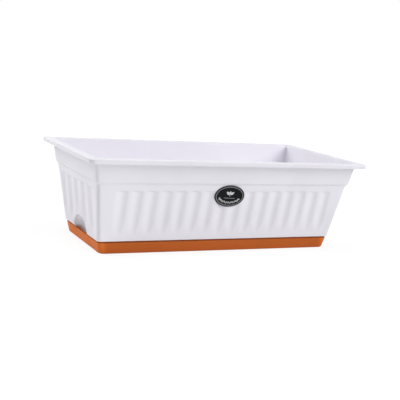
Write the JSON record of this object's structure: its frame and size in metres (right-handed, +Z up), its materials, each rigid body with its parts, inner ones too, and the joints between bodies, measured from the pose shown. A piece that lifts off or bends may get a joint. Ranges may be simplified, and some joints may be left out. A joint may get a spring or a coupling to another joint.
{
  "type": "self watering planter box",
  "caption": "Long fluted planter box with a flanged rim on a shallow water tray, with drain plates, wick cups and an arched filling port at each end.",
  "frame": {"origin": "middle of the tray's underside, on the ground", "axes": "+Z up, +X along the length with the labelled front at -Y"},
  "size_m": [0.5, 0.256, 0.155],
  "materials": {
    "white_plastic": "satin moulded",
    "tray_plastic": "satin moulded",
    "label_print": "printed, glossy"
  },
  "bodies": {
    "tray": {"water_tray": "tray_plastic"},
    "planter": {"planter_box": "white_plastic", "label": "label_print"},
    "plate_1": {"drain_plate_1": "white_plastic"},
    "plate_2": {"drain_plate_2": "white_plastic"},
    "plate_3": {"drain_plate_3": "white_plastic"},
    "cup_1": {"wick_cup_1": "tray_plastic"},
    "cup_2": {"wick_cup_2": "tray_plastic"},
    "cup_3": {"wick_cup_3": "tray_plastic"},
    "cup_4": {"wick_cup_4": "tray_plastic"},
    "cup_5": {"wick_cup_5": "tray_plastic"},
    "cup_6": {"wick_cup_6": "tray_plastic"}
  },
  "joints": [
    {"name": "planter_lift", "type": "slide", "parent": "tray", "child": "planter", "axis": [0, 0, 1], "range_m": [0, 0.15]},
    {"name": "plate_1_lift", "type": "slide", "parent": "planter", "child": "plate_1", "axis": [0, 0, 1], "range_m": [0, 0.16]},
    {"name": "plate_2_lift", "type": "slide", "parent": "planter", "child": "plate_2", "axis": [0, 0, 1], "range_m": [0, 0.16]},
    {"name": "plate_3_lift", "type": "slide", "parent": "planter", "child": "plate_3", "axis": [0, 0, 1], "range_m": [0, 0.16]},
    {"name": "cup_1_lift", "type": "slide", "parent": "plate_1", "child": "cup_1", "axis": [0, 0, 1], "range_m": [0, 0.06]},
    {"name": "cup_2_lift", "type": "slide", "parent": "plate_1", "child": "cup_2", "axis": [0, 0, 1], "range_m": [0, 0.06]},
    {"name": "cup_3_lift", "type": "slide", "parent": "plate_2", "child": "cup_3", "axis": [0, 0, 1], "range_m": [0, 0.06]},
    {"name": "cup_4_lift", "type": "slide", "parent": "plate_2", "child": "cup_4", "axis": [0, 0, 1], "range_m": [0, 0.06]},
    {"name": "cup_5_lift", "type": "slide", "parent": "plate_3", "child": "cup_5", "axis": [0, 0, 1], "range_m": [0, 0.06]},
    {"name": "cup_6_lift", "type": "slide", "parent": "plate_3", "child": "cup_6", "axis": [0, 0, 1], "range_m": [0, 0.06]}
  ]
}
